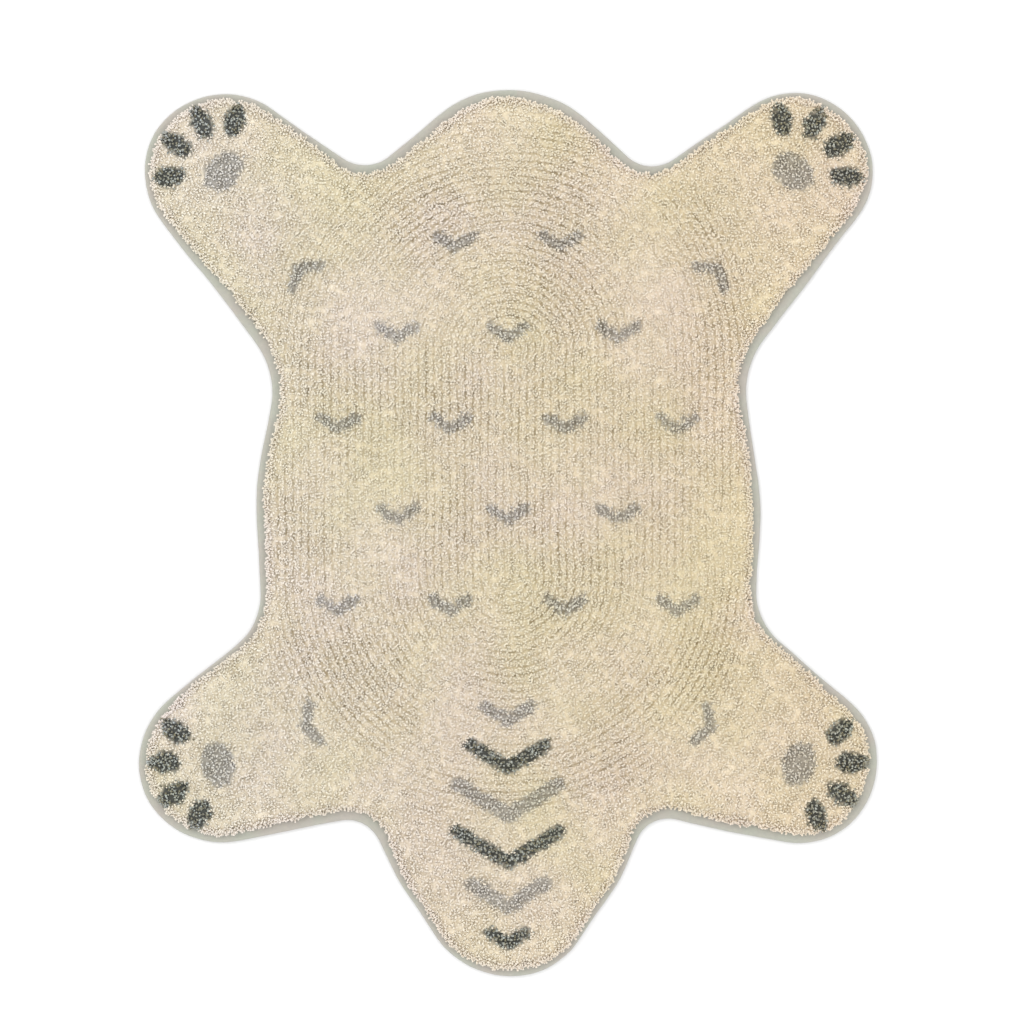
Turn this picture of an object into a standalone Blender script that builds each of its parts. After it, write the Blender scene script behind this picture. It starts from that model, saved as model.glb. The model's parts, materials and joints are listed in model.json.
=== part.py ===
"""Hide-shaped floor mat: a tufted cotton face on its base cloth, with a cloth binding folded round the edge.

Metres, +Z up. The mat lies on the plane Z = 0 with its head towards -Y, and X = 0 is its mid line.
"""

import math

import bmesh
import bpy
from mathutils import Vector

MM = 0.001

# The outline is a belt laid round discs: "out" discs lie inside the mat, "in" discs lie outside it, in its notches.
# The table runs down one side, from the rump to the muzzle, and the other side is its mirror image.
DISC_COLUMNS = ("name", "x", "y", "radius", "side")
DISCS = (
    ("rump", 0, 338, 112, "out"),
    ("tail_notch", 146, 410, 38, "in"),
    ("hind_paw", 289, 366, 80, "out"),
    ("hind_armpit", 324, 142, 84, "in"),
    ("belly", -60, 16, 316, "out"),
    ("fore_armpit", 318, -62, 66, "in"),
    ("fore_paw", 294, -234, 81, "out"),
    ("neck_notch", 163, -326, 35, "in"),
    ("head", 0, -292, 128, "out"),
    ("muzzle", 0, -362, 88, "out"),
)
ARC_STEP = math.radians(10)
LONGEST_STEP = 20 * MM

# Heights of the layers above the floor, and the insets of their rims from the mat's outer edge.
PILE_HEIGHT = 13.0 * MM
CLOTH_THICKNESS = 2.2 * MM
BINDING_THICKNESS = 1.2 * MM
BINDING_HEIGHT = 5.2 * MM
BINDING_WIDTH = 13.2 * MM
BINDING_ROLL = 2.2 * MM
CLEARANCE = 0.3 * MM
PILE_INSET = 7.6 * MM
PILE_ROUNDING = 3.2 * MM
ROUNDING_STEPS = 2

# Low waves round the mat: how far they reach, how many go round, and where they start.
WAVE_COLUMNS = ("reach", "waves", "start")
EDGE_WAVES = (
    (0.7 * MM, 11, 0.4),
    (0.5 * MM, 26, 1.9),
)
PILE_RIM_WAVES = (
    (2.0 * MM, 5, 0.9),
    (1.2 * MM, 13, 2.4),
    (0.7 * MM, 29, 0.3),
)

# Broad swells of the pile's top: their height, their wavelengths across and along the mat, and where they start.
SWELL_COLUMNS = ("height", "across", "along", "start")
SWELLS = (
    (0.45 * MM, 260 * MM, 410 * MM, 0.6),
    (0.35 * MM, 170 * MM, -230 * MM, 2.1),
    (0.20 * MM, -110 * MM, 140 * MM, 4.0),
)
SWELL_GRID = 45 * MM

PILE_COLOUR = (0.76, 0.66, 0.50, 1.0)
BINDING_COLOUR = (0.52, 0.51, 0.47, 1.0)


def as_rows(columns, table):
    return [dict(zip(columns, row)) for row in table]


def all_discs():
    """Centre and radius of every disc of the closed outline, clockwise from the rump; an "in" radius is negative."""
    right = []
    for row in as_rows(DISC_COLUMNS, DISCS):
        signed = row["radius"] if row["side"] == "out" else -row["radius"]
        right.append((Vector((row["x"], row["y"])) * MM, signed * MM))
    left = [(Vector((-centre.x, centre.y)), radius) for centre, radius in right[1:-1]]
    return right + left[::-1]


def leaving_angle(disc, following):
    """The direction from a disc's centre to the point where the belt leaves it for the next disc."""
    (centre, radius), (next_centre, next_radius) = disc, following
    way = next_centre - centre
    return math.atan2(way.y, way.x) + math.acos((radius - next_radius) / way.length)


def on_disc(disc, angle):
    centre, radius = disc
    return centre + radius * Vector((math.cos(angle), math.sin(angle)))


def belt_points():
    """Points of the belt, clockwise: an arc on each disc, then the straight run to the next."""
    discs = all_discs()
    leaving = [leaving_angle(disc, discs[(i + 1) % len(discs)]) for i, disc in enumerate(discs)]
    points = []
    for i, disc in enumerate(discs):
        radius = disc[1]
        turn = (leaving[i] - leaving[i - 1]) % math.tau
        if radius > 0:
            turn -= math.tau
        steps = math.ceil(max(abs(turn) / ARC_STEP, abs(turn * radius) / LONGEST_STEP))
        points += [on_disc(disc, leaving[i - 1] + turn * k / steps) for k in range(steps + 1)]
        start = points[-1]
        run = on_disc(discs[(i + 1) % len(discs)], leaving[i]) - start
        pieces = math.ceil(run.length / LONGEST_STEP)
        points += [start + run * k / pieces for k in range(1, pieces)]
    return points


def inset(points, distances):
    """The outline moved inwards by a distance for each point, or by one distance for all."""
    if not isinstance(distances, list):
        distances = [distances] * len(points)
    moved = []
    for i, point in enumerate(points):
        along = points[(i + 1) % len(points)] - points[i - 1]
        inwards = Vector((along.y, -along.x)).normalized()
        moved.append(point + inwards * distances[i])
    return moved


def waves_round(points, table):
    """The sum of a table's waves at each point of the outline."""
    rows = as_rows(WAVE_COLUMNS, table)
    steps = [(point - points[i - 1]).length for i, point in enumerate(points)]
    girth = sum(steps)
    travelled = 0.0
    sums = []
    for step in steps:
        travelled += step
        turn = math.tau * travelled / girth
        sums.append(sum(row["reach"] * math.sin(row["waves"] * turn + row["start"]) for row in rows))
    return sums


def outline_points():
    """The mat's outer edge, a little uneven, with its box centred on the origin."""
    belt = belt_points()
    points = inset(belt, waves_round(belt, EDGE_WAVES))
    xs = [point.x for point in points]
    ys = [point.y for point in points]
    middle = Vector((min(xs) + max(xs), min(ys) + max(ys))) / 2
    return [point - middle for point in points]


def swell(x, y):
    """How far the pile's top stands above its mean height."""
    rows = as_rows(SWELL_COLUMNS, SWELLS)
    return sum(r["height"] * math.sin(math.tau * (x / r["across"] + y / r["along"]) + r["start"]) for r in rows)


def add_material(owner, name, colour, roughness):
    material = bpy.data.materials.new(name)
    material.use_nodes = True
    shader = material.node_tree.nodes["Principled BSDF"]
    shader.inputs["Base Color"].default_value = colour
    shader.inputs["Roughness"].default_value = roughness
    shader.inputs["Metallic"].default_value = 0.0
    owner.data.materials.append(material)


def flat_plate(name, points, low, high, collection):
    """A plate with this outline between two heights: an extruded flat curve, made a mesh with its caps welded."""
    curve = bpy.data.curves.new(name, "CURVE")
    curve.dimensions = "2D"
    curve.fill_mode = "BOTH"
    curve.extrude = (high - low) / 2
    spline = curve.splines.new("POLY")
    spline.points.add(len(points) - 1)
    for spot, point in zip(spline.points, points):
        spot.co = (point.x, point.y, 0, 1)
    spline.use_cyclic_u = True

    drawn = bpy.data.objects.new(name + "_curve", curve)
    collection.objects.link(drawn)
    drawn.location.z = (low + high) / 2
    bpy.context.view_layer.update()
    mesh = bpy.data.meshes.new_from_object(drawn.evaluated_get(bpy.context.evaluated_depsgraph_get()))
    mesh.transform(drawn.matrix_world)
    bpy.data.objects.remove(drawn)

    welded = bmesh.new()
    welded.from_mesh(mesh)
    bmesh.ops.remove_doubles(welded, verts=welded.verts, dist=0.01 * MM)
    bmesh.ops.recalc_face_normals(welded, faces=welded.faces)
    welded.to_mesh(mesh)
    welded.free()
    mesh.name = name
    made = bpy.data.objects.new(name, mesh)
    collection.objects.link(made)
    return made


def round_rim(shape):
    """Rounds the upper and the lower rim of the pile."""
    rim = [edge for edge in shape.edges if edge.calc_face_angle() > math.radians(60)]
    bmesh.ops.bevel(
        shape, geom=rim, affect="EDGES", offset=PILE_ROUNDING, segments=ROUNDING_STEPS, profile=0.5,
        clamp_overlap=True,
    )


def cut_top_into_grid(shape):
    """Cuts the flat top along and across, so that it can swell."""
    top = [face for face in shape.faces if face.normal.z > 0.99]
    for axis in (Vector((1, 0, 0)), Vector((0, 1, 0))):
        spread = [abs(vert.co.dot(axis)) for vert in shape.verts]
        lines = math.floor(max(spread) / SWELL_GRID)
        for k in range(-lines, lines + 1):
            parts = {part for face in top for part in (face, *face.edges, *face.verts)}
            bmesh.ops.bisect_plane(
                shape, geom=list(parts), dist=0.01 * MM, plane_co=axis * (k * SWELL_GRID), plane_no=axis,
            )
            top = [face for face in shape.faces if face.normal.z > 0.99]


def make_pile(points, low, guides):
    """The standing pile: rounded at its rim, with a gently swelling top."""
    pile = flat_plate("pile", inset(points, [PILE_INSET + w for w in waves_round(points, PILE_RIM_WAVES)]),
                      low, PILE_HEIGHT, guides)
    shape = bmesh.new()
    shape.from_mesh(pile.data)
    bmesh.ops.dissolve_faces(shape, faces=[face for face in shape.faces if abs(face.normal.z) > 0.99])
    round_rim(shape)
    cut_top_into_grid(shape)
    for vert in shape.verts:
        share = (vert.co.z - low) / (PILE_HEIGHT - low)
        vert.co.z += share * swell(vert.co.x, vert.co.y)
    bmesh.ops.triangulate(shape, faces=shape.faces)
    shape.to_mesh(pile.data)
    shape.free()
    return pile


def join(owner, other):
    """Fuses another object into the owner with a live Boolean, and keeps that object as a guide."""
    other.hide_render = True
    other.display_type = "WIRE"
    union = owner.modifiers.new("join_" + other.name, "BOOLEAN")
    union.operation = "UNION"
    union.solver = "EXACT"
    union.object = other


def make_tufted_face(points, parts, guides):
    """The base cloth and the pile tufted through it: one piece, whose thin rim lies inside the binding."""
    cloth_low = BINDING_THICKNESS + CLEARANCE
    cloth_inset = BINDING_THICKNESS + 2 * CLEARANCE
    face = flat_plate("tufted_face", inset(points, cloth_inset), cloth_low, cloth_low + CLOTH_THICKNESS, parts)
    core_points = inset(points, BINDING_WIDTH + CLEARANCE)
    join(face, flat_plate("tufted_core", core_points, 0.0, PILE_HEIGHT - PILE_ROUNDING, guides))
    join(face, make_pile(points, BINDING_HEIGHT + CLEARANCE, guides))
    add_material(face, "cream_pile", PILE_COLOUR, 0.95)


def fold_arc(height_sign):
    """The rounded corner of the binding's outer fold: its offsets from the corner of the square fold."""
    steps = ROUNDING_STEPS
    angles = [math.radians(90) * k / steps for k in range(steps + 1)]
    arc = [(BINDING_ROLL * (math.sin(a) - 1), height_sign * BINDING_ROLL * (1 - math.cos(a))) for a in angles]
    return arc


def binding_section():
    """The folded strip's section, as pairs of distance outwards from the mat's edge and height."""
    lining = -BINDING_THICKNESS - CLEARANCE / 2
    upper_leg = BINDING_HEIGHT - BINDING_THICKNESS
    outside = [(-BINDING_WIDTH, 0.0)]
    outside += fold_arc(1)
    outside += [(out, BINDING_HEIGHT + height) for out, height in fold_arc(-1)[::-1]]
    outside += [(-BINDING_WIDTH, BINDING_HEIGHT)]
    inside = [(-BINDING_WIDTH, upper_leg), (lining, upper_leg)]
    inside += [(lining, BINDING_THICKNESS), (-BINDING_WIDTH, BINDING_THICKNESS)]
    return outside + inside


def make_edge_binding(points, parts):
    """The binding: its folded section swept round the outline, one ring of points for each corner of the section."""
    swept = bmesh.new()
    rings = []
    for out, height in binding_section():
        rings.append([swept.verts.new((p.x, p.y, height)) for p in inset(points, -out)])
    for ring, following in zip(rings, rings[1:] + rings[:1]):
        for i in range(len(points)):
            swept.faces.new((ring[i - 1], ring[i], following[i], following[i - 1]))
    bmesh.ops.recalc_face_normals(swept, faces=swept.faces)
    mesh = bpy.data.meshes.new("edge_binding")
    swept.to_mesh(mesh)
    swept.free()
    mesh.shade_smooth()
    mesh.set_sharp_from_angle(angle=math.radians(50))
    binding = bpy.data.objects.new("edge_binding", mesh)
    parts.objects.link(binding)
    add_material(binding, "grey_binding", BINDING_COLOUR, 0.8)


def main():
    for old in list(bpy.data.objects):
        bpy.data.objects.remove(old)
    parts = bpy.data.collections.new("hide_shaped_floor_mat")
    guides = bpy.data.collections.new("guides")
    for collection in (parts, guides):
        bpy.context.scene.collection.children.link(collection)
    points = outline_points()
    make_tufted_face(points, parts, guides)
    make_edge_binding(points, parts)


main()
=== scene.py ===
"""Hide-shaped floor mat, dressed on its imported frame: cut cotton pile, base cloth and edge binding."""

import json
import math

import bmesh
import bpy
import numpy as np
from mathutils import Matrix, Vector, kdtree, noise
from mathutils.bvhtree import BVHTree
from mathutils.geometry import delaunay_2d_cdt

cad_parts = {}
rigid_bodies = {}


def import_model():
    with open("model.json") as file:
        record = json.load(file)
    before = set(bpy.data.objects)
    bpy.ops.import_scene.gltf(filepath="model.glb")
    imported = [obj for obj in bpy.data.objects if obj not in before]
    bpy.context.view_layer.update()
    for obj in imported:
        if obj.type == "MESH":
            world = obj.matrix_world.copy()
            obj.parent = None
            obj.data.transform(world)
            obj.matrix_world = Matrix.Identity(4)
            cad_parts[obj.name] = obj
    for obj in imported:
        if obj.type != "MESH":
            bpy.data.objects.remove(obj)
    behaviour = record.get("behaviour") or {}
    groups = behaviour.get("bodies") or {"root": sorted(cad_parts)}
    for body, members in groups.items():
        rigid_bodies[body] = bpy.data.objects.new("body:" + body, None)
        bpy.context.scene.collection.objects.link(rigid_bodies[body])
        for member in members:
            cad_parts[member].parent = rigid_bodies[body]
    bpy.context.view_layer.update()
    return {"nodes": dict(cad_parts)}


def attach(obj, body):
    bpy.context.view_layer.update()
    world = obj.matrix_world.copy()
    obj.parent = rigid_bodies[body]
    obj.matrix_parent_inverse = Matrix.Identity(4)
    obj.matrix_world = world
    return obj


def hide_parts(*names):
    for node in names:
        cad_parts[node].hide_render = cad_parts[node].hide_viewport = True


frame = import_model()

bl_info = {
    "name": "Hide-shaped floor mat",
    "version": (1, 0, 0),
    "blender": (4, 5, 0),
    "location": "3D View > Sidebar > Floor mat",
    "description": "Dresses the floor mat's solids with cut pile, base cloth and binding",
    "category": "Object",
}

MM = 0.001
SEED = 7

# The line that the tufted rows run round, from end to end.
SPINE = (Vector((0.0, -0.045)), Vector((0.0, 0.185)))

# Motifs, tufted in the pile: one side's, mirrored where x isn't 0. Sizes in millimetres, angles in degrees from +X.
# A bar has round ends, an oval's length lies along its angle, and a chevron is two bars whose point faces its angle.
# Later rows lie over earlier ones.
MOTIF_COLUMNS = ("name", "yarn", "kind", "x", "y", "length", "width", "angle")
MOTIFS = (
    ("hind_limb_chevron", "light", "chevron", 212, 268, 32, 11, 52),
    ("fore_limb_chevron", "light", "chevron", 206, -196, 32, 11, -18),
    ("end_chevron_1", "light", "chevron", 0, -190, 40, 13, -90),
    ("end_chevron_2", "dark", "chevron", 0, -238, 58, 14, -90),
    ("end_chevron_3", "light", "chevron", 0, -286, 74, 15, -90),
    ("end_chevron_4", "dark", "chevron", 0, -334, 74, 14, -90),
    ("end_chevron_5", "light", "chevron", 0, -378, 58, 15, -90),
    ("end_chevron_6", "dark", "chevron", 0, -416, 34, 13, -90),
)
BACK_CHEVRONS = (
    (290, (54,)),
    (198, (0, 112)),
    (106, (58, 172)),
    (14, (0, 112)),
    (-78, (58, 172)),
)
BACK_CHEVRON_LENGTH = 32
BACK_CHEVRON_WIDTH = 11
CHEVRON_OPENING = 58
PAW_COLUMNS = ("name", "x", "y", "facing")
PAWS = (
    ("hind_paw", 289, 366, 49),
    ("fore_paw", 294, -234, -16),
)
TOE_SPREAD = (-54, -18, 18, 54)
TOE_MIDDLE = 53
TOE_LENGTH = 32
TOE_WIDTH = 21
PALM_LENGTH = 34
PALM_WIDTH = 46
MOTIF_FRAY = 1.6

# Each yarn's brightness at the root, at the tip and in the bed of roots, as shares of its colour, and how much its
# ends differ in tone. Root, tip and bed are painted light and shade: the grey yarns get painted shade at the roots and
# in the bed and a painted highlight at the tips; the cream's tips are painted darker to damp their lit tops.
YARN_COLUMNS = ("root", "tip", "bed_shade", "spread", "slot")
YARN_LOOKS = {
    "cream": (1.03, 0.92, 1.0, 0.03, "cream_pile"),
    "light": (0.45, 1.18, 0.78, 0.14, "light_grey_pile"),
    "dark": (0.18, 2.05, 0.48, 0.36, "dark_grey_pile"),
}


def length_property(label, text, value):
    """A float property in metres."""
    return bpy.props.FloatProperty(name=label, description=text, default=value, min=0.0, unit="LENGTH", precision=5)


def colour_property(label, text, value):
    return bpy.props.FloatVectorProperty(
        name=label, description=text, default=value, size=3, min=0.0, max=1.0, subtype="COLOR"
    )


class PileSettings(bpy.types.PropertyGroup):
    """Sizes and colours of the cut pile."""

    row_pitch: length_property("Row pitch", "Distance from one tufted row to the next", 7.9 * MM)
    line_pitch: length_property("Line pitch", "Distance between a row's three lines of yarn ends", 2.2 * MM)
    end_pitch: length_property("End pitch", "Distance between yarn ends along a row", 2.15 * MM)
    end_length: length_property("End length", "Length of a yarn end above the pile's roots", 6.6 * MM)
    end_radius: length_property("End radius", "Half the thickness of a yarn end", 1.14 * MM)
    root_depth: length_property("Root depth", "How far the roots lie below the pile's top", 6.2 * MM)
    jitter: length_property("Jitter", "How far a yarn end strays from its row", 0.25 * MM)
    lean: bpy.props.FloatProperty(
        name="Lean", description="How far yarn ends lean along their row, as a share of their height", default=0.6
    )
    sway: bpy.props.FloatProperty(
        name="Sway", description="How far yarn ends lean off their row, as a share of their height", default=0.12
    )
    cream: colour_property("Cream yarn", "Colour of the ground's yarn", (0.79, 0.737, 0.643))
    light: colour_property("Light grey yarn", "Colour of the light motifs' yarn", (0.53, 0.515, 0.49))
    dark: colour_property("Dark grey yarn", "Colour of the dark motifs' yarn", (0.165, 0.178, 0.172))


class ClothSettings(bpy.types.PropertyGroup):
    """Sizes and colours of the base cloth and the binding."""

    thickness: length_property("Binding thickness", "Thickness of the binding's cloth", 1.1 * MM)
    width: length_property("Binding width", "How far the binding reaches in from the edge", 13.0 * MM)
    height: length_property("Binding height", "Height of the folded binding", 5.2 * MM)
    pucker: length_property("Pucker", "Height of the binding's puckers", 0.35 * MM)
    thread: length_property("Thread pitch", "Distance between the binding's threads", 0.55 * MM)
    binding: colour_property("Binding", "Colour of the binding's cloth", (0.375, 0.365, 0.325))
    base: colour_property("Base cloth", "Colour of the base cloth", (0.66, 0.61, 0.52))


class StageSettings(bpy.types.PropertyGroup):
    """The camera and the light."""

    view_width: length_property("View width", "Width of the floor that the camera sees", 1.0407)
    view_x: bpy.props.FloatProperty(name="View x", description="Where the camera looks", default=0.004, unit="LENGTH")
    view_y: bpy.props.FloatProperty(name="View y", description="Where the camera looks", default=0.0215, unit="LENGTH")
    camera_height: length_property("Camera height", "Height of the camera over the floor", 3.2)
    floor: colour_property("Floor", "Colour of the floor", (0.70, 0.70, 0.70))


def settings():
    return bpy.context.scene.floor_mat_pile, bpy.context.scene.floor_mat_cloth, bpy.context.scene.floor_mat_stage


# Node helpers

def add_node(tree, kind, inputs=None, **options):
    """A new node with its options set; each input is linked if its value is a socket, and set otherwise."""
    made = tree.nodes.new(kind)
    for key, value in options.items():
        setattr(made, key, value)
    for key, value in (inputs or {}).items():
        if isinstance(value, bpy.types.NodeSocket):
            tree.links.new(value, made.inputs[key])
        else:
            made.inputs[key].default_value = value
    return made


def new_material(name, roughness=0.95, sheen=0.25):
    """A material with its tree, its Principled shader and the shader's plain values set."""
    material = bpy.data.materials.new(name)
    material.use_nodes = True
    tree = material.node_tree
    shader = tree.nodes["Principled BSDF"]
    shader.inputs["Roughness"].default_value = roughness
    shader.inputs["Specular IOR Level"].default_value = 0.2
    shader.inputs["Sheen Weight"].default_value = sheen
    shader.inputs["Sheen Roughness"].default_value = 0.6
    return material, tree, shader


def mixed(tree, share, first, second, blend="MIX"):
    """A colour mixed from two, by a share."""
    node = add_node(tree, "ShaderNodeMix", {0: share, 6: first, 7: second}, data_type="RGBA", blend_type=blend)
    return node.outputs[2]


def noise_share(tree, coordinates, scale, low=0.35, high=0.65, detail=2.0):
    """A noise pattern stretched to reach from 0 to 1."""
    pattern = add_node(tree, "ShaderNodeTexNoise", {"Vector": coordinates, "Scale": scale, "Detail": detail})
    stretch = {"Value": pattern.outputs["Fac"], "From Min": low, "From Max": high}
    return add_node(tree, "ShaderNodeMapRange", stretch).outputs["Result"]


def shade(colour, factor):
    """The colour scaled, as RGBA, with one factor or one for each channel."""
    factors = factor if isinstance(factor, tuple) else (factor,) * 3
    return (*[min(1.0, c * f) for c, f in zip(colour, factors)], 1.0)


# Materials

def drifting(tree, place, colour):
    """The colour, yellowing towards one side, with broad pinkish and yellowish patches and small cloudy ones."""
    across = add_node(tree, "ShaderNodeSeparateXYZ", {"Vector": place}).outputs["X"]
    side = add_node(tree, "ShaderNodeMapRange", {"Value": across, "From Min": -0.3, "From Max": 0.3})
    yellowing = mixed(tree, side.outputs["Result"], (0.985, 1.01, 1.055, 1.0), (1.01, 0.985, 0.95, 1.0))
    colour = mixed(tree, 1.0, colour, yellowing, "MULTIPLY")
    patches = ((7.0, (1.0, 0.975, 0.985), (0.99, 0.985, 0.88)), (40.0, (0.985, 0.98, 0.965), (1.0, 1.0, 1.0)))
    for scale, low, high in patches:
        drift = mixed(tree, noise_share(tree, place, scale), (*low, 1.0), (*high, 1.0))
        colour = mixed(tree, 1.0, colour, drift, "MULTIPLY")
    return colour


def finish_pile(tree, shader, colour, fibres):
    """Links the yarn's colour, and gives it the fine relief and uneven dullness of spun cotton."""
    tree.links.new(colour, shader.inputs["Base Color"])
    bump = add_node(tree, "ShaderNodeBump", {"Height": fibres, "Strength": 0.3, "Distance": 0.3 * MM})
    tree.links.new(bump.outputs["Normal"], shader.inputs["Normal"])
    dull = add_node(tree, "ShaderNodeMapRange", {"Value": fibres, "To Min": 0.85, "To Max": 1.0})
    tree.links.new(dull.outputs["Result"], shader.inputs["Roughness"])


def yarn_material(yarn, colour):
    """The finish of yarn ends: each has its own tone, with painted shade towards the grey yarns' roots and a painted
    highlight on their tips, while the cream's tips are painted darker and its roots warmer.
    """
    look = dict(zip(YARN_COLUMNS, YARN_LOOKS[yarn]))
    material, tree, shader = new_material(yarn + "_yarn_finish")
    place = add_node(tree, "ShaderNodeTexCoord").outputs["Object"]
    tone = add_node(tree, "ShaderNodeAttribute", attribute_name="tone").outputs["Fac"]
    up = add_node(tree, "ShaderNodeAttribute", attribute_name="up").outputs["Fac"]
    spread = look["spread"]
    tinted = mixed(tree, tone, shade(colour, (1 - spread, 1 - 1.3 * spread, 1 - 1.9 * spread)), shade(colour, 1 + spread))
    fibres = noise_share(tree, place, 2200.0)
    flecks = mixed(tree, fibres, shade((1.0, 1.0, 1.0), 0.95), shade((1.0, 1.0, 1.0), 1.0))
    flecked = mixed(tree, 1.0, drifting(tree, place, tinted), flecks, "MULTIPLY")
    # Painted light and shade along each end's height: the grey yarns darken to their roots and brighten to their tips;
    # the cream's tips are dimmed and its roots warmed like shade.
    rise = add_node(tree, "ShaderNodeMapRange", {"Value": up, "From Min": 0.3}).outputs["Result"]
    shaded_root = tuple(look["root"] * c for c in (1.0, 0.96, 0.88))
    height_light_and_shade = mixed(tree, rise, (*shaded_root, 1.0), (*(look["tip"],) * 3, 1.0))
    # On the rim, a greyer, pinker tint that is partly painted shade on the outward-leaning ends.
    share = add_node(tree, "ShaderNodeAttribute", attribute_name="greyed").outputs["Fac"]
    rim_tinted = mixed(tree, share, (1.0, 1.0, 1.0, 1.0), (*RIM_TINT_AND_SHADE, 1.0))
    shaded = mixed(tree, 1.0, height_light_and_shade, rim_tinted, "MULTIPLY")
    finish_pile(tree, shader, mixed(tree, 1.0, flecked, shaded, "MULTIPLY"), fibres)
    return material


def roots_material(name):
    """The finish of the dense pile between the yarn ends: ends seen from above with painted shade between them, and
    painted shade in the grooves between rows.
    """
    material, tree, shader = new_material(name)
    place = add_node(tree, "ShaderNodeTexCoord").outputs["Object"]
    # The yarn's colour with the bed's painted shade, read from the cloth's points.
    yarn = add_node(tree, "ShaderNodeAttribute", attribute_name="yarn_colour").outputs["Color"]
    groove = add_node(tree, "ShaderNodeAttribute", attribute_name="groove").outputs["Fac"]
    # Painted shade between the rounded tops of the ends, lightest at each top's middle.
    cells = add_node(tree, "ShaderNodeTexVoronoi", {"Vector": place, "Scale": 430.0}).outputs["Distance"]
    round_end = {"Value": cells, "From Min": 0.15, "From Max": 0.6, "To Min": 1.0, "To Max": 0.0}
    ends = add_node(tree, "ShaderNodeMapRange", round_end).outputs["Result"]
    painted_gap_shade = mixed(tree, ends, (0.84, 0.81, 0.75, 1.0), (1.0, 0.99, 0.97, 1.0))
    # Painted shade in the grooves between rows, deeper where the noise gapes.
    gaping = noise_share(tree, place, 130.0, 0.5, 0.62)
    depth = mixed(tree, gaping, (0.88, 0.85, 0.79, 1.0), (0.6, 0.56, 0.47, 1.0))
    parted = mixed(tree, groove, (1.0, 1.0, 1.0, 1.0), depth)
    shaded = mixed(tree, 1.0, drifting(tree, place, yarn), mixed(tree, 1.0, painted_gap_shade, parted, "MULTIPLY"), "MULTIPLY")
    finish_pile(tree, shader, shaded, ends)
    return material


def weave_height(tree, place, pitch):
    """The height of a plain weave: threads along and across, each over and under the other."""
    across = add_node(tree, "ShaderNodeSeparateXYZ", {"Vector": place})
    turns = []
    for axis in ("X", "Y"):
        angle = {0: across.outputs[axis], 1: math.pi / pitch}
        turned = add_node(tree, "ShaderNodeMath", angle, operation="MULTIPLY").outputs[0]
        turns.append(add_node(tree, "ShaderNodeMath", {0: turned}, operation="SINE").outputs[0])
    product = add_node(tree, "ShaderNodeMath", {0: turns[0], 1: turns[1]}, operation="MULTIPLY").outputs[0]
    return add_node(tree, "ShaderNodeMath", {0: product, 1: 0.5, 2: 0.5}, operation="MULTIPLY_ADD").outputs[0]


def row_ridges(tree, place, pitch):
    """The height of the ridges that the tufted rows leave on the base cloth's underside, round the mat's spine."""
    low, high = SPINE
    across = add_node(tree, "ShaderNodeSeparateXYZ", {"Vector": place})
    nearest = add_node(tree, "ShaderNodeClamp", {"Value": across.outputs["Y"], "Min": low.y, "Max": high.y}).outputs[0]
    past = add_node(tree, "ShaderNodeMath", {0: across.outputs["Y"], 1: nearest}, operation="SUBTRACT").outputs[0]
    away = add_node(tree, "ShaderNodeCombineXYZ", {"X": across.outputs["X"], "Y": past}).outputs[0]
    radius = add_node(tree, "ShaderNodeVectorMath", {0: away}, operation="LENGTH").outputs["Value"]
    turned = add_node(tree, "ShaderNodeMath", {0: radius, 1: math.tau / pitch}, operation="MULTIPLY").outputs[0]
    wave = add_node(tree, "ShaderNodeMath", {0: turned}, operation="COSINE").outputs[0]
    return add_node(tree, "ShaderNodeMath", {0: wave, 1: 0.5, 2: 0.5}, operation="MULTIPLY_ADD").outputs[0]


def cloth_material(name, colour, pitch, uv_map=None, row_pitch=0.0):
    """Plain woven cotton with uneven threads, a little soiling and, if given, its pile's rows."""
    material, tree, shader = new_material(name, sheen=0.15)
    if uv_map:
        place = add_node(tree, "ShaderNodeUVMap", uv_map=uv_map).outputs["UV"]
    else:
        place = add_node(tree, "ShaderNodeTexCoord").outputs["Object"]
    threads = weave_height(tree, place, pitch)
    slubs = noise_share(tree, place, 260.0)
    cloudy = noise_share(tree, place, 28.0)
    woven = mixed(tree, threads, shade(colour, 0.88), shade(colour, 1.04))
    uneven = mixed(tree, slubs, (0.93, 0.93, 0.94, 1.0), (1.0, 1.0, 0.99, 1.0))
    clouds = mixed(tree, cloudy, (1.0, 0.955, 0.95, 1.0), (0.96, 1.0, 0.96, 1.0))
    tinted = mixed(tree, 1.0, mixed(tree, 1.0, woven, uneven, "MULTIPLY"), clouds, "MULTIPLY")
    relief = add_node(tree, "ShaderNodeMath", {0: slubs, 1: 0.4, 2: threads}, operation="MULTIPLY_ADD").outputs[0]
    if row_pitch:
        ridges = row_ridges(tree, place, row_pitch)
        relief = add_node(tree, "ShaderNodeMath", {0: ridges, 1: 3.0, 2: relief}, operation="MULTIPLY_ADD").outputs[0]
        tinted = mixed(tree, 1.0, tinted, mixed(tree, ridges, (0.88, 0.87, 0.84, 1.0), (1.0,) * 4), "MULTIPLY")
    tree.links.new(tinted, shader.inputs["Base Color"])
    bump = add_node(tree, "ShaderNodeBump", {"Height": relief, "Strength": 0.6, "Distance": 0.15 * MM})
    tree.links.new(bump.outputs["Normal"], shader.inputs["Normal"])
    dull = add_node(tree, "ShaderNodeMapRange", {"Value": slubs, "To Min": 0.78, "To Max": 0.95})
    tree.links.new(dull.outputs["Result"], shader.inputs["Roughness"])
    return material


# The mat's edge and its pile, read from the frame

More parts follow.
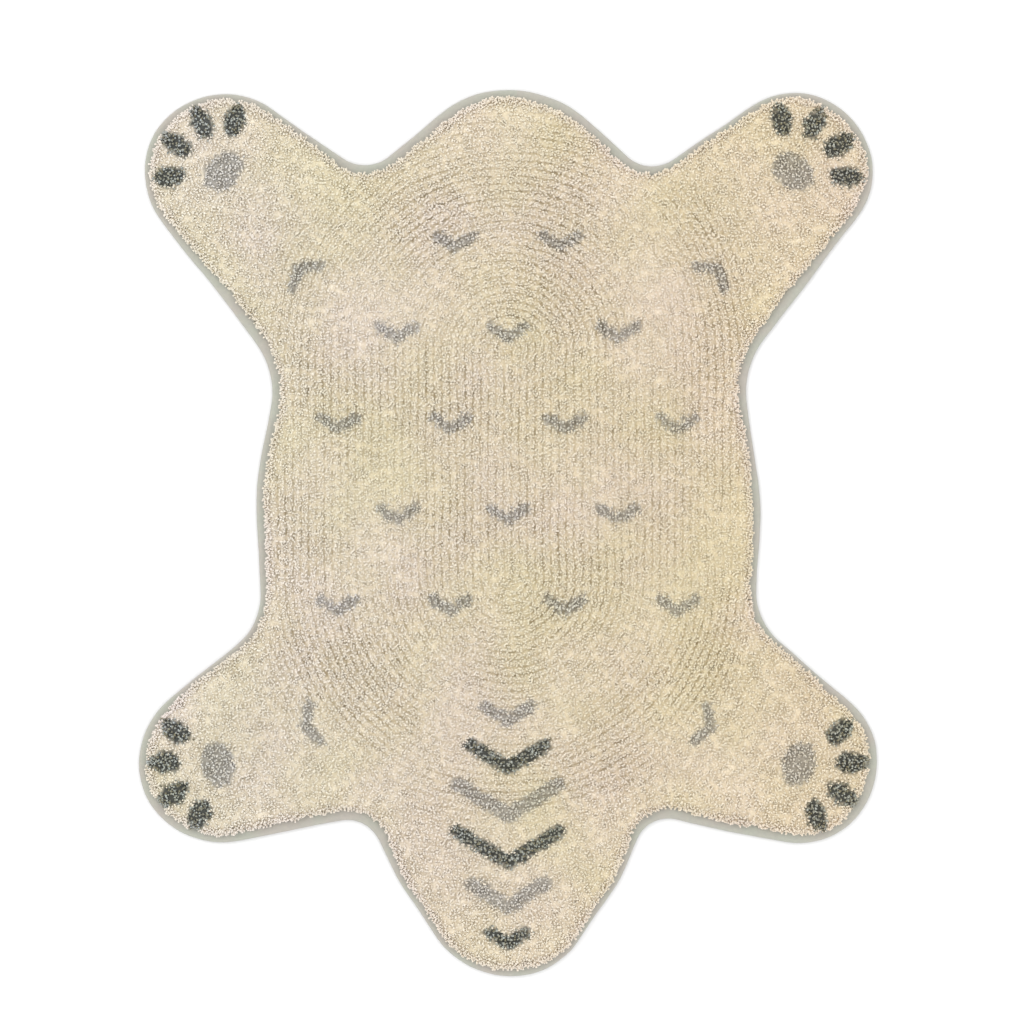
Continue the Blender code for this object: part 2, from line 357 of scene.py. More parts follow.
def loop_at_height(node, height):
    """The closed loop of a CAD node's points that lie at one height, in order."""
    mesh = frame["nodes"][node].data
    spots = [tuple(round(c, 6) for c in vert.co) for vert in mesh.vertices]
    neighbours = {}
    for edge in mesh.edges:
        ends = [spots[i] for i in edge.vertices]
        if ends[0] != ends[1] and all(abs(spot[2] - height) < 0.01 * MM for spot in ends):
            neighbours.setdefault(ends[0], set()).add(ends[1])
            neighbours.setdefault(ends[1], set()).add(ends[0])
    start = max(neighbours, key=lambda spot: spot[1] - abs(spot[0]))
    loop = [start]
    previous, here = None, start
    while True:
        following = [spot for spot in sorted(neighbours[here]) if spot != previous]
        previous, here = here, following[0]
        if here == start:
            return np.array(loop)[:, :2]
        loop.append(here)


def smooth_loop(corners, spacing):
    """The loop through these corners, rounded between them and resampled at an even spacing, clockwise."""
    ring = np.array(corners)
    turned = np.roll(ring, -1, axis=0)
    if np.sum(ring[:, 0] * turned[:, 1] - turned[:, 0] * ring[:, 1]) > 0:
        ring = ring[::-1]
    p0, p1, p2, p3 = (np.roll(ring, shift, axis=0) for shift in (1, 0, -1, -2))
    fine = []
    for t in np.linspace(0, 1, 12, endpoint=False):
        bend = 2 * p1 + (p2 - p0) * t + (2 * p0 - 5 * p1 + 4 * p2 - p3) * t**2 + (3 * (p1 - p2) + p3 - p0) * t**3
        fine.append(bend / 2)
    curve = np.stack(fine, axis=1).reshape(-1, 2)
    closed = np.vstack([curve, curve[:1]])
    travelled = np.concatenate([[0], np.cumsum(np.linalg.norm(np.diff(closed, axis=0), axis=1))])
    count = round(travelled[-1] / spacing)
    wanted = np.arange(count) * travelled[-1] / count
    return np.stack([np.interp(wanted, travelled, closed[:, k]) for k in (0, 1)], axis=1)


class Edge:
    """The mat's outer edge at an even spacing, with the pile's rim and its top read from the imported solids."""

    def __init__(self, spacing):
        self.points = smooth_loop(loop_at_height("edge_binding", 2.2 * MM), spacing)
        along = np.roll(self.points, -1, axis=0) - np.roll(self.points, 1, axis=0)
        along /= np.linalg.norm(along, axis=1)[:, None]
        self.inwards = np.stack([along[:, 1], -along[:, 0]], axis=1)
        self.tree = kdtree.KDTree(len(self.points))
        for i, (x, y) in enumerate(self.points):
            self.tree.insert((x, y, 0.0), i)
        self.tree.balance()
        face = frame["nodes"]["tufted_face"].data
        corners = [vert.co.copy() for vert in face.vertices]
        self.solid = BVHTree.FromPolygons(corners, [tuple(polygon.vertices) for polygon in face.polygons])
        self.rim = self.rim_insets()

    def top(self, x, y):
        """The height of the pile's top in the solids, or 0 outside the pile."""
        hit = self.solid.ray_cast(Vector((x, y, 50 * MM)), Vector((0, 0, -1)))[0]
        return hit.z if hit and hit.z > 8 * MM else 0.0

    def rim_insets(self):
        """How far the pile's rim lies inside the edge, at each of the edge's points."""
        insets = []
        for point, inwards in zip(self.points, self.inwards):
            reach = 2 * MM
            while self.top(*(point + inwards * reach)) == 0.0 and reach < 14 * MM:
                reach += 0.4 * MM
            insets.append(reach)
        window = range(-2, 3)
        return np.mean([np.roll(insets, shift) for shift in window], axis=0)

    def place(self, x, y):
        """How far a point lies inside the pile's rim, and the nearest edge point's number."""
        index = self.tree.find((x, y, 0.0))[1]
        inset = (np.array((x, y)) - self.points[index]) @ self.inwards[index]
        return inset - self.rim[index], index

    def ring(self, insets):
        """The edge moved inwards by a distance, or by one for each point."""
        distances = np.broadcast_to(insets, len(self.points))[:, None]
        return self.points + self.inwards * distances


# Motifs

def all_motifs():
    """Every bar and oval of the mat's motifs, both sides, with the toes fanned round each paw."""
    rows = [dict(zip(MOTIF_COLUMNS, row)) for row in MOTIFS]
    for y, places in BACK_CHEVRONS:
        for x in places:
            chevron = ("back_chevron", "light", "chevron", x, y, BACK_CHEVRON_LENGTH, BACK_CHEVRON_WIDTH, -90)
            rows.append(dict(zip(MOTIF_COLUMNS, chevron)))
    for paw in (dict(zip(PAW_COLUMNS, row)) for row in PAWS):
        palm = ("palm", "light", "oval", paw["x"], paw["y"], PALM_LENGTH, PALM_WIDTH, paw["facing"])
        rows.append(dict(zip(MOTIF_COLUMNS, palm)))
        for spread in TOE_SPREAD:
            angle = paw["facing"] + spread
            x = paw["x"] + TOE_MIDDLE * math.cos(math.radians(angle))
            y = paw["y"] + TOE_MIDDLE * math.sin(math.radians(angle))
            rows.append(dict(zip(MOTIF_COLUMNS, ("toe", "dark", "oval", x, y, TOE_LENGTH, TOE_WIDTH, angle))))
    mirrored = [dict(row, x=-row["x"], angle=180 - row["angle"]) for row in rows if row["x"]]
    return [plain for row in rows + mirrored for plain in plain_motifs(row)]


def plain_motifs(row):
    """The motif itself, or a chevron's two bars, which meet at its point."""
    if row["kind"] != "chevron":
        return [row]
    bars = []
    for side in (-1, 1):
        angle = row["angle"] + 180 + side * CHEVRON_OPENING
        reach = (row["length"] - row["width"]) / 2
        x = row["x"] + reach * math.cos(math.radians(angle))
        y = row["y"] + reach * math.sin(math.radians(angle))
        bars.append(dict(row, kind="bar", x=x, y=y, angle=angle))
    return bars


def in_motif(row, x, y):
    """True where a point, in millimetres, lies inside the bar or oval."""
    angle = math.radians(row["angle"])
    dx, dy = x - row["x"], y - row["y"]
    along = dx * math.cos(angle) + dy * math.sin(angle)
    across = dy * math.cos(angle) - dx * math.sin(angle)
    if row["kind"] == "oval":
        return (2 * along / row["length"]) ** 2 + (2 * across / row["width"]) ** 2 < 1
    straight = (row["length"] - row["width"]) / 2
    beyond = max(0.0, abs(along) - straight)
    return math.hypot(beyond, across) < row["width"] / 2


def yarn_at(motifs, x, y):
    """The yarn that stands at a point in metres; the motifs' edges are a little frayed."""
    stray = noise.noise_vector((x * 400, y * 400, 0.0)) * MOTIF_FRAY
    x, y = x / MM + stray.x, y / MM + stray.y
    found = [row["yarn"] for row in motifs if abs(x - row["x"]) < row["length"] and in_motif(row, x, y)]
    return found[-1] if found else "cream"


# Rows of tufts

ROW_WANDER = 2.5 * MM
ROW_TREMBLE = 1.0 * MM


def row_point(radius, travelled):
    """A point on the row that lies at this radius round the mat's spine, this far along it, anticlockwise."""
    low, high = SPINE
    straight = high.y - low.y
    half = straight + math.pi * radius
    travelled %= 2 * half
    side = 1 if travelled < half else -1
    t = travelled % half
    if t < straight:
        return Vector((side * radius, low.y + t if side > 0 else high.y - t))
    angle = (t - straight) / radius if radius else 0.0
    end = high.y if side > 0 else low.y
    return Vector((side * radius * math.cos(angle), end + side * radius * math.sin(angle)))


def row_points(radius, spacing, stagger):
    """Evenly spaced points along a row, which wanders a little; the middle one runs up the spine alone."""
    girth = 2 * (SPINE[1].y - SPINE[0].y) + 2 * math.pi * radius
    count = round(girth / spacing)
    shown = count if radius else count // 2
    points = [row_point(radius, (k + stagger) * girth / count) for k in range(shown)]
    points = [point + noise.noise_vector((*(point * 14), 0.0)).xy * ROW_WANDER for point in points]
    return [point + noise.noise_vector((*(point * 55), 0.0)).xy * ROW_TREMBLE for point in points]


def row_radii(pitch, offsets):
    """The radii of all rows, with lines at these offsets from each row's middle."""
    rows = math.ceil(0.62 / pitch)
    return [k * pitch + offset for k in range(rows) for offset in offsets if k * pitch + offset >= 0]


# Yarn ends

def make_yarn_end(index, length, radius, collection):
    """One cut end of yarn: a slanting three-sided strand that widens a little towards its blunt end."""
    slant = radius * (0.5 + 0.38 * index)
    shoulder = 0.84 + 0.03 * (index % 4)
    shape = bmesh.new()
    up = shape.verts.layers.float.new("up")
    rings = []
    for height, width in ((0.0, 0.75), (shoulder, 1.0 + 0.06 * (index % 3))):
        ring = []
        for k in range(3):
            angle = math.tau * k / 3 + index
            x = radius * width * math.cos(angle) + slant * height
            vert = shape.verts.new((x, radius * width * math.sin(angle), height * length))
            vert[up] = height
            ring.append(vert)
        rings.append(ring)
    tip = shape.verts.new((slant, 0.0, length))
    tip[up] = 1.0
    foot, top = rings
    for k in range(3):
        shape.faces.new((foot[k - 1], foot[k], top[k], top[k - 1])).smooth = True
        shape.faces.new((top[k - 1], top[k], tip)).smooth = True
    shape.faces.new(foot[::-1])
    mesh = bpy.data.meshes.new(f"yarn_end_{index}")
    shape.to_mesh(mesh)
    shape.free()
    collection.objects.link(bpy.data.objects.new(mesh.name, mesh))


def scatter_tree():
    """Geometry nodes that stand a yarn end on each point, astray, leaning, spun and sized at random."""
    tree = bpy.data.node_groups.new("stand_yarn_ends", "GeometryNodeTree")
    tree.is_modifier = True
    sockets = (
        ("Geometry", "NodeSocketGeometry"), ("Yarn ends", "NodeSocketCollection"), ("Variants", "NodeSocketInt"),
        ("Jitter", "NodeSocketFloat"), ("Lean", "NodeSocketFloat"), ("Sway", "NodeSocketFloat"),
        ("Seed", "NodeSocketInt"),
        ("Material", "NodeSocketMaterial"),
    )
    for name, kind in sockets:
        tree.interface.new_socket(name, in_out="INPUT", socket_type=kind)
    tree.interface.new_socket("Geometry", in_out="OUTPUT", socket_type="NodeSocketGeometry")
    given = tree.nodes.new("NodeGroupInput").outputs

    def random(kind, low, high, offset, output=0):
        seed = add_node(tree, "FunctionNodeInputInt", integer=offset).outputs[0]
        total = maths("ADD", given["Seed"], seed)
        node = tree.nodes.new("FunctionNodeRandomValue")
        node.data_type = kind
        values = {"FLOAT_VECTOR": (0, 1), "FLOAT": (2, 3), "INT": (4, 5)}[kind]
        for slot, value in zip(values, (low, high)):
            if isinstance(value, bpy.types.NodeSocket):
                tree.links.new(value, node.inputs[slot])
            else:
                node.inputs[slot].default_value = value
        tree.links.new(total, node.inputs["Seed"])
        return node.outputs[{"FLOAT_VECTOR": 0, "FLOAT": 1, "INT": 2}[kind]]

    def maths(operation, first, second):
        return add_node(tree, "ShaderNodeMath", {0: first, 1: second}, operation=operation).outputs[0]

    def vector_maths(operation, **inputs):
        keys = {"a": 0, "b": 1, "scale": "Scale"}
        values = {keys[k]: v for k, v in inputs.items()}
        return add_node(tree, "ShaderNodeVectorMath", values, operation=operation).outputs[0]

    def attribute(kind, name):
        node = tree.nodes.new("GeometryNodeInputNamedAttribute")
        node.data_type = kind
        node.inputs["Name"].default_value = name
        return node.outputs["Attribute"]

    astray = vector_maths("SCALE", a=random("FLOAT_VECTOR", (-1, -1, 0), (1, 1, 0), 1), scale=given["Jitter"])
    loose = vector_maths("SCALE", a=astray, scale=attribute("FLOAT", "loose"))
    moved = add_node(tree, "GeometryNodeSetPosition", {"Geometry": given["Geometry"], "Offset": loose})
    row = attribute("FLOAT_VECTOR", "row")
    sway = maths("MULTIPLY", given["Sway"], attribute("FLOAT", "loose"))
    along = vector_maths("SCALE", a=row, scale=maths("MULTIPLY", random("FLOAT", -1.0, 1.0, 8), given["Lean"]))
    aside = vector_maths("SCALE", a=random("FLOAT_VECTOR", (-1, -1, 0), (1, 1, 0), 2), scale=sway)
    upright = vector_maths("ADD", a=attribute("FLOAT_VECTOR", "lean"), b=(0.0, 0.0, 1.0))
    leaning = vector_maths("ADD", a=vector_maths("ADD", a=aside, b=along), b=upright)
    aligned = add_node(
        tree, "FunctionNodeAxesToRotation", {"Primary Axis": leaning, "Secondary Axis": row},
        primary_axis="Z", secondary_axis="X",
    ).outputs[0]
    twist = maths("MULTIPLY", random("FLOAT", -1.0, 1.0, 3), maths("MULTIPLY", attribute("FLOAT", "loose"), 0.8))
    spin = maths("ADD", twist, maths("MULTIPLY", random("INT", 0, 1, 9), math.pi))
    spun = add_node(tree, "FunctionNodeAxisAngleToRotation", {"Axis": (0, 0, 1), "Angle": spin}).outputs[0]
    turned = add_node(
        tree, "FunctionNodeRotateRotation", {"Rotation": aligned, "Rotate By": spun}, rotation_space="LOCAL"
    ).outputs[0]
    width = random("FLOAT", 0.82, 1.22, 4)
    rise = maths("MULTIPLY", random("FLOAT", 0.86, 1.14, 5), attribute("FLOAT", "rise"))
    size = add_node(tree, "ShaderNodeCombineXYZ", {"X": width, "Y": width, "Z": rise}).outputs[0]
    ends = add_node(
        tree, "GeometryNodeCollectionInfo",
        {"Collection": given["Yarn ends"], "Separate Children": True, "Reset Children": True},
    ).outputs[0]
    last = maths("SUBTRACT", given["Variants"], 1)
    standing = add_node(
        tree, "GeometryNodeInstanceOnPoints",
        {"Points": moved.outputs[0], "Instance": ends, "Pick Instance": True,
         "Instance Index": random("INT", 0, last, 6), "Rotation": turned, "Scale": size},
    ).outputs[0]
    toned = add_node(
        tree, "GeometryNodeStoreNamedAttribute",
        {"Geometry": standing, "Name": "tone", "Value": random("FLOAT", 0.0, 1.0, 7)},
        data_type="FLOAT", domain="INSTANCE",
    ).outputs[0]
    geometry = add_node(tree, "GeometryNodeRealizeInstances", {"Geometry": toned}).outputs[0]
    for name in ("lean", "loose", "rise", "row"):
        geometry = add_node(tree, "GeometryNodeRemoveAttribute", {"Geometry": geometry, "Name": name}).outputs[0]
    painted = add_node(
        tree, "GeometryNodeSetMaterial", {"Geometry": geometry, "Material": given["Material"]}
    ).outputs[0]
    add_node(tree, "NodeGroupOutput", {"Geometry": painted})
    return tree


def points_mesh(name, roots):
    """A mesh of bare points, with each yarn end's lean, looseness and rise as attributes."""
    mesh = bpy.data.meshes.new(name)
    mesh.from_pydata([root["place"] for root in roots], [], [])
    for key in ("loose", "rise", "greyed"):
        layer = mesh.attributes.new(key, "FLOAT", "POINT")
        layer.data.foreach_set("value", [root[key] for root in roots])
    for key in ("lean", "row"):
        layer = mesh.attributes.new(key, "FLOAT_VECTOR", "POINT")
        layer.data.foreach_set("vector", [c for root in roots for c in (*root[key], 0.0)])
    return mesh


def flat_uv(mesh, name):
    """A UV map seen from straight above, over the mat's whole box."""
    layer = mesh.uv_layers.new(name=name)
    places = np.empty(len(mesh.vertices) * 3)
    mesh.vertices.foreach_get("co", places)
    corners = np.empty(len(mesh.loops), dtype=np.int32)
    mesh.loops.foreach_get("vertex_index", corners)
    flat = places.reshape(-1, 3)[corners][:, :2]
    layer.data.foreach_set("uv", (flat / 0.96 + 0.5).astype(np.float32).ravel())


def grow_pile(name, roots, variants, tree, material):
    """Stands the yarn ends on their roots, as one plain mesh."""
    pile, _, _ = settings()
    grown = bpy.data.objects.new(name, points_mesh(name + "_roots", roots))
    bpy.context.scene.collection.objects.link(grown)
    modifier = grown.modifiers.new("yarn_ends", "NODES")
    modifier.node_group = tree
    values = {
        "Yarn ends": variants, "Variants": len(variants.objects), "Jitter": pile.jitter, "Lean": pile.lean,
        "Sway": pile.sway, "Seed": SEED, "Material": material,
    }
    for item in tree.interface.items_tree:
        if item.in_out == "INPUT" and item.name in values:
            modifier[item.identifier] = values[item.name]
    bpy.context.view_layer.update()
    mesh = bpy.data.meshes.new_from_object(grown.evaluated_get(bpy.context.evaluated_depsgraph_get()))
    mesh.name = name
    grown.modifiers.remove(modifier)
    grown.data = mesh
    flat_uv(mesh, "OFBake")
    return grown


# Where the yarn ends stand

# Lines of yarn ends along the pile's rim, in millimetres: how deep inside it, how far apart, how high the roots lie,
# and how far the ends lean outwards and how long they are, as shares of their height and length; and how much of the
# rim's greyer, pinker tint with painted shade they take.
RIM_COLUMNS = ("depth", "pitch", "height", "lean", "rise", "greyed")
RIM_LINES = (
    (4.0, 1.4, 6.0, 0.80, 0.90, 1.0),
    (4.9, 1.6, 6.6, 0.62, 0.94, 1.0),
    (6.0, 1.8, 7.0, 0.46, 0.98, 0.8),
    (7.3, 2.1, 7.3, 0.32, 1.0, 0.5),
)
# The rim ends' tint: partly a greyer, pinker hue, partly painted shade on their outward-leaning lit lengths.
RIM_TINT_AND_SHADE = (0.97, 0.955, 0.985)


def looseness(x, y):
    """How loosely the rows lie: tidy on the back, and astray on limbs and head."""
    low, high = SPINE
    beside = math.hypot(x, max(0.0, low.y - y, y - high.y))
    return min(2.2, max(1.0, 1 + (beside - 0.23) / 0.05))


def row_direction(x, y):
    """The way that the row through this point runs."""
    low, high = SPINE
    away = Vector((x, y - min(high.y, max(low.y, y))))
    return Vector((-away.y, away.x)).normalized()


def root_rows(edge, motifs):
    """Every yarn end's root: its place, yarn, lean, row direction, looseness and rise."""
    pile, _, _ = settings()
    roots = []

    def add(x, y, z, **look):
        roots.append({"place": (x, y, z), "yarn": yarn_at(motifs, x, y), "greyed": 0.0, **look})

    lines = (-pile.line_pitch, 0.0, pile.line_pitch)
    for k, radius in enumerate(row_radii(pile.row_pitch, lines)):
        for spot in row_points(radius, pile.end_pitch, 0.5 * (k % 2)):
            depth, index = edge.place(spot.x, spot.y)
            if depth < 8.4 * MM:
                continue
            outwards = -edge.inwards[index] * max(0.0, 1 - (depth - 8.4 * MM) / (9 * MM)) * 0.3
            z = edge.top(*spot) - pile.root_depth
            loose = looseness(*spot)
            row = row_direction(*spot) * (1.4 - 0.4 * loose)
            add(*spot, z, lean=outwards, row=row, loose=loose, rise=1.0)
    step = np.linalg.norm(edge.points[1] - edge.points[0])
    for line in (dict(zip(RIM_COLUMNS, row)) for row in RIM_LINES):
        loop = edge.ring(edge.rim + line["depth"] * MM)
        for i in np.arange(0, len(loop), line["pitch"] * MM / step).astype(int):
            ragged = 1 + 0.3 * noise.noise((*(edge.points[i] * 110), 0.1 * line["depth"]))
            outwards = -edge.inwards[i]
            lean, rise = outwards * line["lean"] * ragged, line["rise"] * ragged
            add(*loop[i], line["height"] * MM, lean=lean, row=outwards * 0.3, loose=0.45, rise=rise, greyed=line["greyed"])
    return roots


# The tufted cloth

def filled(shape, ring, inner=()):
    """Fills a ring of vertices, through the points inside it; returns the faces and the inner points' vertices."""
    flat = [Vector(vert.co.xy) for vert in ring] + [Vector(point[:2]) for point in inner]
    edges = [(i, (i + 1) % len(ring)) for i in range(len(ring))]
    _, _, faces, origins, _, _ = delaunay_2d_cdt(flat, edges, [], 1, 1e-7)
    verts = list(ring) + [shape.verts.new(point) for point in inner]
    return [shape.faces.new([verts[origins[i][0]] for i in face]) for face in faces], verts[len(ring):]


def bridge(shape, ring, following):
    return [shape.faces.new((ring[i - 1], ring[i], following[i], following[i - 1])) for i in range(len(ring))]


class FLOORMAT_OT_tufted_cloth(bpy.types.Operator):
    """Make the base cloth with the dense roots of its pile"""

    bl_idname = "floor_mat.tufted_cloth"
    bl_label = "Tufted cloth"

    def execute(self, context):
        pile, cloth, _ = settings()
        edge = Edge(4 * MM)
        motifs = all_motifs()
        looks = {yarn: dict(zip(YARN_COLUMNS, row)) for yarn, row in YARN_LOOKS.items()}
        # The bed of roots takes each yarn's colour with painted shade: darker under the grey yarns, whose pits lie
        # deep in shade.
        colours = {yarn: shade(getattr(pile, yarn), look["bed_shade"]) for yarn, look in looks.items()}
        flank = edge.rim
        # Each ring's inset and height, from the underside over the rim to the pile.
        rings = (
            (30 * MM, 0.0), (15.4 * MM, 0.0), (13.9 * MM, 0.5 * MM), (12.6 * MM, 1.5 * MM), (2.4 * MM, 1.5 * MM),
            (1.8 * MM, 2.6 * MM), (2.4 * MM, 3.7 * MM), (13.5 * MM, 3.7 * MM), (13.6 * MM, 5.6 * MM),
            (flank + 4.4 * MM, 5.7 * MM), (flank + 3.1 * MM, 6.6 * MM), (flank + 2.9 * MM, 7.8 * MM),
            (flank + 4.0 * MM, 9.1 * MM), (flank + 6.4 * MM, 9.6 * MM),
        )
        shape = bmesh.new()
        colour = shape.verts.layers.float_color.new("yarn_colour")
        groove = shape.verts.layers.float.new("groove")
        made = [[shape.verts.new((x, y, z)) for x, y in edge.ring(inset)] for inset, z in rings]
        under, _ = filled(shape, made[0])
        cloth_rings = 8
        for k, (ring, following) in enumerate(zip(made, made[1:])):
            faces = bridge(shape, ring, following)
            under += faces if k < cloth_rings else []

        inner, partings = [], []
        for k, radius in enumerate(row_radii(pile.row_pitch / 2, (0.0,))):
            for spot in row_points(radius, 6 * MM, 0.0):
                if edge.place(*spot)[0] > 8.4 * MM:
                    loose = looseness(*spot)
                    hollow = (1 - 1 / loose) * (0.4 + 1.5 * noise.noise((*(spot * 110), 0.0)))
                    open_row = (k % 2) * (0.82 + 0.9 * noise.noise((*(spot * 11), 5.0)))
                    parted = max(0.0, open_row / loose + max(0.0, hollow))
                    inner.append((*spot, edge.top(*spot) - (2.65 + 0.3 / loose + 1.3 * parted) * MM))
                    partings.append(parted / loose)
        _, inner_verts = filled(shape, made[-1], inner)
        for vert, parting in zip(inner_verts, partings):
            vert[groove] = parting
        for vert in shape.verts:
            vert[colour] = colours[yarn_at(motifs, vert.co.x, vert.co.y)]
        for face in under:
            face.material_index = 1
        for face in shape.faces:
            face.smooth = True
        bmesh.ops.recalc_face_normals(shape, faces=shape.faces)
        mesh = bpy.data.meshes.new("tufted_cloth")
        shape.to_mesh(mesh)
        shape.free()
        flat_uv(mesh, "OFBake")
        mesh.materials.append(roots_material("pile_roots_finish"))
        mesh.materials.append(
            cloth_material("base_cloth_finish", tuple(cloth.base), 1.1 * MM, row_pitch=pile.row_pitch)
        )
        piece = bpy.data.objects.new("tufted_cloth", mesh)
        context.scene.collection.objects.link(piece)
        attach(piece, "root")
        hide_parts("tufted_face")
        return {"FINISHED"}


class FLOORMAT_OT_pile(bpy.types.Operator):
    """Stand the cut pile on the tufted cloth, in its three yarns"""

    bl_idname = "floor_mat.pile"
    bl_label = "Cut pile"

    def execute(self, context):
        pile, _, _ = settings()
        edge = Edge(0.8 * MM)
        motifs = all_motifs()
        roots = root_rows(edge, motifs)
        variants = bpy.data.collections.new("yarn_ends")
        for index in range(6):
            make_yarn_end(index, pile.end_length, pile.end_radius, variants)
        tree = scatter_tree()
        materials = {yarn: yarn_material(yarn, tuple(getattr(pile, yarn))) for yarn in YARN_LOOKS}
        pieces = []
        for yarn in YARN_LOOKS:
            chosen = sorted((root for root in roots if root["yarn"] == yarn), key=lambda root: root["place"][1])
            parts = math.ceil(len(chosen) / 18500)
            for k in range(parts):
                share = chosen[len(chosen) * k // parts:len(chosen) * (k + 1) // parts]
                name = f"{yarn}_pile_{k + 1}"
                piece = grow_pile(name, share, variants, tree, materials[yarn])
                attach(piece, "root")
                pieces.append(piece)
        for variant in list(variants.objects):
            bpy.data.objects.remove(variant)
        bpy.data.collections.remove(variants)
        for piece in pieces:
            piece.data.calc_loop_triangles()
        print("yarn ends", len(roots), "triangles", [len(piece.data.loop_triangles) for piece in pieces])
        return {"FINISHED"}


def binding_section(cloth):
    """The folded strip's section: distance outwards from the edge, height, and how freely the cloth moves there."""
    half = cloth.height / 2
    outside = [(-cloth.width, 0.0, 0.0), (-cloth.width * 0.75, 0.0, 0.0), (-cloth.width * 0.45, 0.0, 0.0)]
    for k in range(8):
        angle = math.pi * k / 7 - math.pi / 2
        outside.append((half * (math.cos(angle) - 1), half * (1 + math.sin(angle)), max(0.0, math.sin(angle))))
    for k in range(1, 6):
        share = k / 5
        crown = 0.15 * MM * math.sin(math.pi * share)
        outside.append((-half - (cloth.width - half) * share, cloth.height + crown, 1 - 0.6 * share))
    upper = cloth.height - cloth.thickness
    inner = half - cloth.thickness
    inside = [(-cloth.width, upper, 0.0), (-half - 1 * MM, upper, 0.0)]
    for k in range(4):
        angle = math.pi / 2 - math.pi * k / 3
        inside.append((-half + inner * math.cos(angle), half + inner * math.sin(angle), 0.0))
    inside += [(-half - 1 * MM, cloth.thickness, 0.0), (-cloth.width, cloth.thickness, 0.0)]
    return outside + inside


class FLOORMAT_OT_edge_binding(bpy.types.Operator):
    """Fold the cloth binding round the mat's edge"""

    bl_idname = "floor_mat.edge_binding"
    bl_label = "Edge binding"

    def execute(self, context):
        _, cloth, _ = settings()
        edge = Edge(2.8 * MM)
        count = len(edge.points)
        step = np.linalg.norm(np.roll(edge.points, -1, axis=0) - edge.points, axis=1).mean()
        section = binding_section(cloth)
        shape = bmesh.new()
        rings = []
        for out, height, free in section:
            ring = []
            for i, (point, inwards) in enumerate(zip(edge.points, edge.inwards)):
                around = Vector((point[0], point[1], 0.0)) * 90
                crease = noise.noise(around + Vector((0, 0, out * 60))) + 0.5 * noise.noise(around * 2.7)
                lift = cloth.pucker * free * crease
                sway = 0.4 * MM * noise.noise(around * 0.45) if out > -4 * MM else 0.0
                x, y = point - inwards * (out + sway)
                ring.append(shape.verts.new((x, y, height + lift)))
            rings.append(ring)
        weave = shape.loops.layers.uv.new("cloth")
        bake = shape.loops.layers.uv.new("OFBake")
        travelled = [0.0]
        for (x0, z0, _), (x1, z1, _) in zip(section, section[1:] + section[:1]):
            travelled.append(travelled[-1] + math.hypot(x1 - x0, z1 - z0))
        lanes = 10
        for k, (ring, following) in enumerate(zip(rings, rings[1:] + rings[:1])):
            for i in range(count):
                face = shape.faces.new((ring[i], ring[(i + 1) % count], following[(i + 1) % count], following[i]))
                face.smooth = True
                lane = i * lanes // count
                for loop, (along, across) in zip(face.loops, ((i, k), (i + 1, k), (i + 1, k + 1), (i, k + 1))):
                    loop[weave].uv = (along * step, travelled[across])
                    lane_share = along * lanes / count - lane
                    loop[bake].uv = (lane_share, (lane + 0.02 + 0.96 * travelled[across] / travelled[-1]) / lanes)
        bmesh.ops.recalc_face_normals(shape, faces=shape.faces)
        mesh = bpy.data.meshes.new("edge_binding_cloth")
        shape.to_mesh(mesh)
        shape.free()
        mesh.materials.append(cloth_material("binding_finish", tuple(cloth.binding), cloth.thread, "cloth"))
        piece = bpy.data.objects.new("edge_binding_cloth", mesh)
        context.scene.collection.objects.link(piece)
        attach(piece, "root")
        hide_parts("edge_binding")
        return {"FINISHED"}


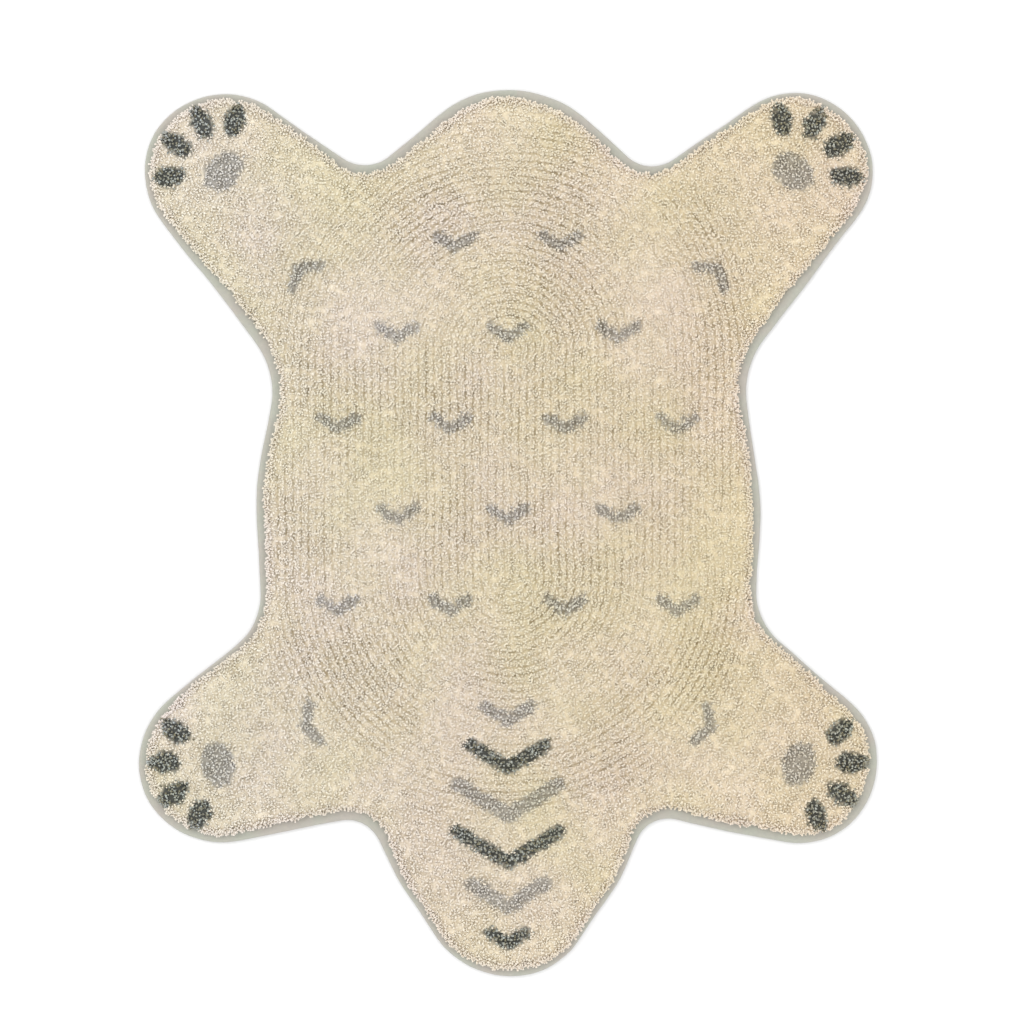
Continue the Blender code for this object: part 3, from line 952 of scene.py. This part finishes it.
class FLOORMAT_OT_stage(bpy.types.Operator):
    """Set the pale floor, the soft light and the camera straight above"""

    bl_idname = "floor_mat.stage"
    bl_label = "Stage"

    def execute(self, context):
        _, _, stage = settings()
        scene = context.scene
        shape = bmesh.new()
        bmesh.ops.create_grid(shape, x_segments=1, y_segments=1, size=4.0)
        mesh = bpy.data.meshes.new("floor")
        shape.to_mesh(mesh)
        shape.free()
        mesh.transform(Matrix.Translation((0, 0, -0.5 * MM)))
        floor = bpy.data.objects.new("floor", mesh)
        scene.collection.objects.link(floor)
        material, _, shader = new_material("floor_finish", roughness=0.9, sheen=0.0)
        shader.inputs["Base Color"].default_value = (*stage.floor, 1.0)
        mesh.materials.append(material)

        world = bpy.data.worlds.new("studio")
        world.use_nodes = True
        sky = world.node_tree.nodes["Background"]
        sky.inputs["Color"].default_value = (1.0, 1.0, 1.0, 1.0)
        sky.inputs["Strength"].default_value = 1.52
        scene.world = world
        for name, place, size, power in (
            ("key", (-1.4, 1.2, 2.4), 1.6, 16.0),
            ("fill", (1.6, -1.0, 2.6), 2.2, 5.0),
        ):
            light = bpy.data.lights.new(name, "AREA")
            light.shape = "DISK"
            light.size = size
            light.energy = power
            lamp = bpy.data.objects.new(name, light)
            lamp.location = place
            lamp.rotation_euler = (-Vector(place)).to_track_quat("-Z", "Y").to_euler()
            scene.collection.objects.link(lamp)

        lens = bpy.data.cameras.new("camera")
        lens.sensor_width = 36.0
        lens.lens = 36.0 * stage.camera_height / stage.view_width
        camera = bpy.data.objects.new("camera", lens)
        camera.location = (stage.view_x, stage.view_y, stage.camera_height)
        scene.collection.objects.link(camera)
        scene.camera = camera
        scene.view_settings.view_transform = "Standard"
        return {"FINISHED"}


class FLOORMAT_PT_panel(bpy.types.Panel):
    """The mat's pieces and their settings"""

    bl_idname = "FLOORMAT_PT_panel"
    bl_label = "Floor mat"
    bl_space_type = "VIEW_3D"
    bl_region_type = "UI"
    bl_category = "Floor mat"

    def draw(self, context):
        for group in settings():
            box = self.layout.box()
            for name in group.__annotations__:
                box.prop(group, name)
        for operator in OPERATORS:
            self.layout.operator(operator.bl_idname)


GROUPS = {
    "floor_mat_pile": PileSettings,
    "floor_mat_cloth": ClothSettings,
    "floor_mat_stage": StageSettings,
}
OPERATORS = (
    FLOORMAT_OT_stage,
    FLOORMAT_OT_tufted_cloth,
    FLOORMAT_OT_pile,
    FLOORMAT_OT_edge_binding,
)


def register():
    for name, group in GROUPS.items():
        bpy.utils.register_class(group)
        setattr(bpy.types.Scene, name, bpy.props.PointerProperty(type=group))
    for made in (*OPERATORS, FLOORMAT_PT_panel):
        bpy.utils.register_class(made)


def unregister():
    for made in (FLOORMAT_PT_panel, *reversed(OPERATORS)):
        bpy.utils.unregister_class(made)
    for name, group in reversed(GROUPS.items()):
        delattr(bpy.types.Scene, name)
        bpy.utils.unregister_class(group)


def cut_area():
    """The area of the base cloth's cut, from the frame's edge."""
    x, y = Edge(4 * MM).ring(1.8 * MM).T
    return abs(np.sum(x * np.roll(y, -1) - np.roll(x, -1) * y)) / 2


def main():
    register()
    bpy.ops.floor_mat.stage()
    bpy.ops.floor_mat.tufted_cloth()
    bpy.ops.floor_mat.pile()
    bpy.ops.floor_mat.edge_binding()
    cut_area()


if __name__ == "__main__":
    main()
